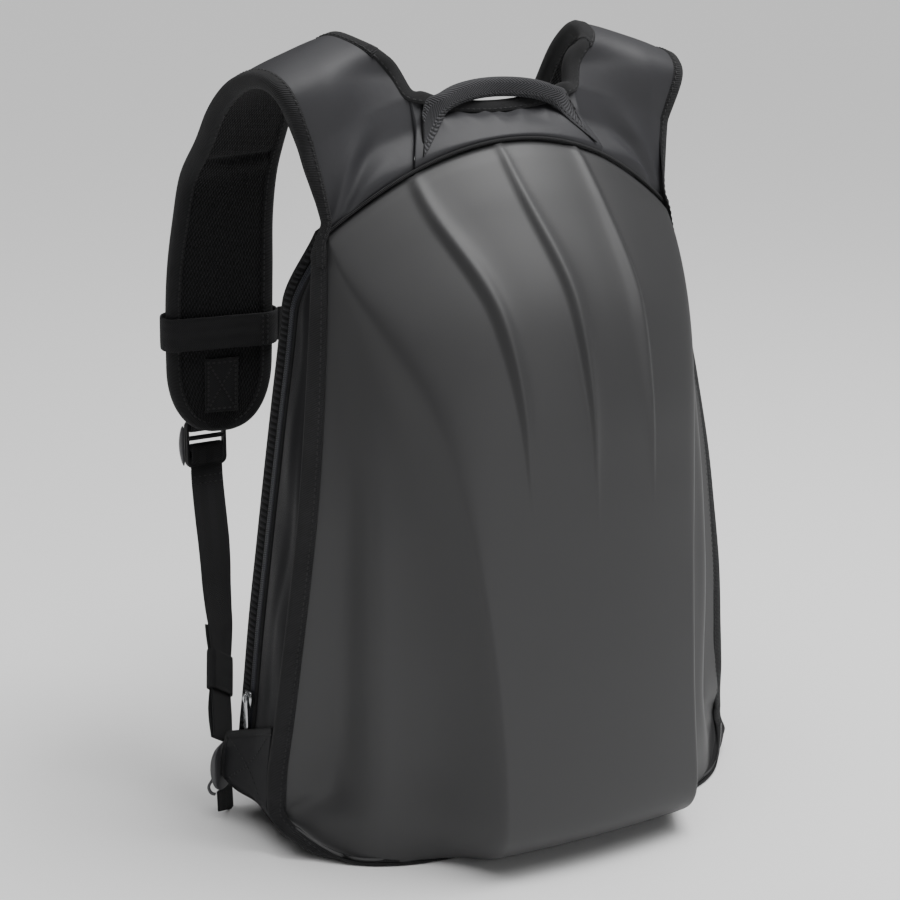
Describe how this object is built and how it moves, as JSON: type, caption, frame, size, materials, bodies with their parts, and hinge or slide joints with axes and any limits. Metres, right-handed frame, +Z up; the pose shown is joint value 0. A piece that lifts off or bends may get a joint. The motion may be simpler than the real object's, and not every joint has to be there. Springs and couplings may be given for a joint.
{
  "type": "hard shell backpack",
  "caption": "Upright backpack with a ribbed moulded front shell, bound rim, zipped side gusset, padded back and two curved shoulder straps.",
  "frame": {"origin": "on the floor under the base, midway across and straight below the two top corners of the front shell", "axes": "+Z up, +Y from the shell towards the wearer's back, +X to the right seen from the front; the shell looks along -Y"},
  "size_m": [0.4044, 0.327, 0.5281],
  "materials": {
    "shell": "soft matte dark grey",
    "coated_fabric": "smooth matte coating",
    "tape": "ribbed twill",
    "air_mesh": "open spacer mesh",
    "webbing": "woven webbing",
    "coil": "satin coil on twill tape",
    "buckle_plastic": "satin moulded",
    "pull_metal": "polished"
  },
  "bodies": {
    "root": {"front_shell": "shell", "shell_binding": "tape", "side_gusset": "coated_fabric", "zipper_tape": "coil", "back_panel": "air_mesh", "top_yoke": "coated_fabric", "neck_binding": "tape", "strap_pad_left": "coated_fabric", "strap_pad_right": "coated_fabric", "strap_binding_left": "tape", "strap_binding_right": "tape", "grab_handle": "webbing", "strap_tab_left": "webbing", "strap_tab_right": "webbing", "strap_patch_left": "webbing", "strap_patch_right": "webbing", "ladder_lock_left": "buckle_plastic", "ladder_lock_right": "buckle_plastic", "adjuster_webbing_left": "webbing", "adjuster_webbing_right": "webbing", "webbing_keeper_left": "webbing", "webbing_keeper_right": "webbing", "lower_buckle_left": "buckle_plastic", "lower_buckle_right": "buckle_plastic", "webbing_tail_left": "webbing", "webbing_tail_right": "webbing", "corner_wing_left": "coated_fabric", "corner_wing_right": "coated_fabric", "zip_slider_left": "pull_metal", "zip_slider_right": "pull_metal", "zip_pull_left": "pull_metal", "zip_pull_right": "pull_metal", "chest_loop_left": "webbing", "chest_loop_right": "webbing", "chest_webbing_left": "webbing", "chest_webbing_right": "webbing", "chest_buckle": "buckle_plastic"}
  },
  "joints": []
}
